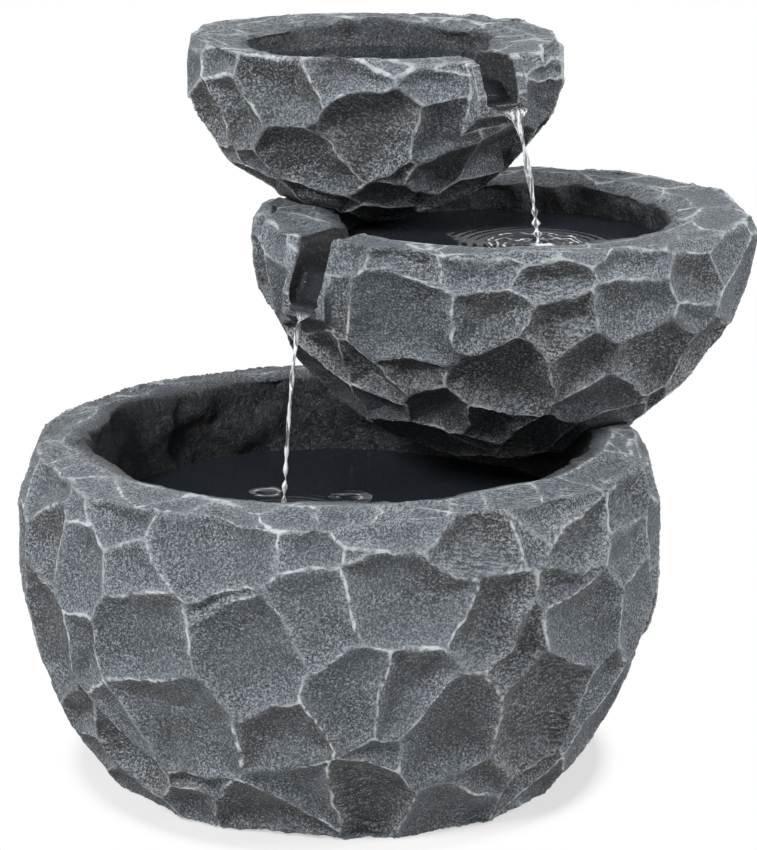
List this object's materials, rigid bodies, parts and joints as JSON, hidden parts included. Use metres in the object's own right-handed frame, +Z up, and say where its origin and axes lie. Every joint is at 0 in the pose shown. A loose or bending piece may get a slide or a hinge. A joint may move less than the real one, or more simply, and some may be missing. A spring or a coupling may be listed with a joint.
{
  "type": "cascading fountain",
  "caption": "Cascading garden fountain of chiselled slate-look bowls stacked on one another's rims, with spouts, a submerged pump and a riser hose to the top bowl.",
  "frame": {"origin": "on the floor, under the centre of the lower bowl's basin", "axes": "+Z up, -Y towards the viewer of the picture, +X to the right"},
  "size_m": [0.4815, 0.4576, 0.4546],
  "materials": {
    "slate_resin": "rough chiselled slate look with paler dry-brushed ridges",
    "pump_plastic": "fine moulded texture",
    "strainer_plastic": "fine moulded texture",
    "dial_plastic": "fine moulded texture",
    "impeller_plastic": "natural moulded plastic",
    "magnet_ferrite": "sintered ferrite",
    "shaft_ceramic": "ground ceramic",
    "rubber": "soft moulded rubber",
    "hose_vinyl": "black vinyl hose",
    "clip_steel": "bright spring steel"
  },
  "bodies": {
    "base": {"lower_bowl": "slate_resin", "pump_housing": "pump_plastic", "impeller_cover": "pump_plastic", "impeller_shaft": "shaft_ceramic", "shaft_bush_front": "rubber", "shaft_bush_rear": "rubber", "suction_feet": "rubber", "outlet_nozzle": "pump_plastic", "nozzle_seal": "rubber", "riser_hose": "hose_vinyl", "hose_clip": "clip_steel", "cable_gland": "pump_plastic"},
    "middle": {"middle_bowl": "slate_resin"},
    "top": {"top_bowl": "slate_resin", "inlet_fitting": "pump_plastic", "inlet_washer": "rubber", "inlet_nut": "pump_plastic"},
    "rotor": {"impeller": "impeller_plastic", "rotor_magnet": "magnet_ferrite"},
    "intake": {"strainer": "strainer_plastic"},
    "dial": {"flow_dial": "dial_plastic"}
  },
  "joints": [
    {"name": "middle_bowl_lift", "type": "slide", "parent": "base", "child": "middle", "axis": [0, 0, 1], "range_m": [0, 0.15]},
    {"name": "top_bowl_lift", "type": "slide", "parent": "middle", "child": "top", "axis": [0, 0, 1], "range_m": [0, 0.06]},
    {"name": "impeller_spin", "type": "hinge", "parent": "base", "child": "rotor", "pos_m": [0.008, 0.084, 0.05], "axis": [1, 0, 0], "continuous": true},
    {"name": "strainer_pull", "type": "slide", "parent": "base", "child": "intake", "axis": [-1, 0, 0], "range_m": [0, 0.03]},
    {"name": "flow_dial_turn", "type": "hinge", "parent": "intake", "child": "dial", "pos_m": [-0.03, 0.084, 0.05], "axis": [-1, 0, 0], "range_deg": [-90, 90]}
  ]
}
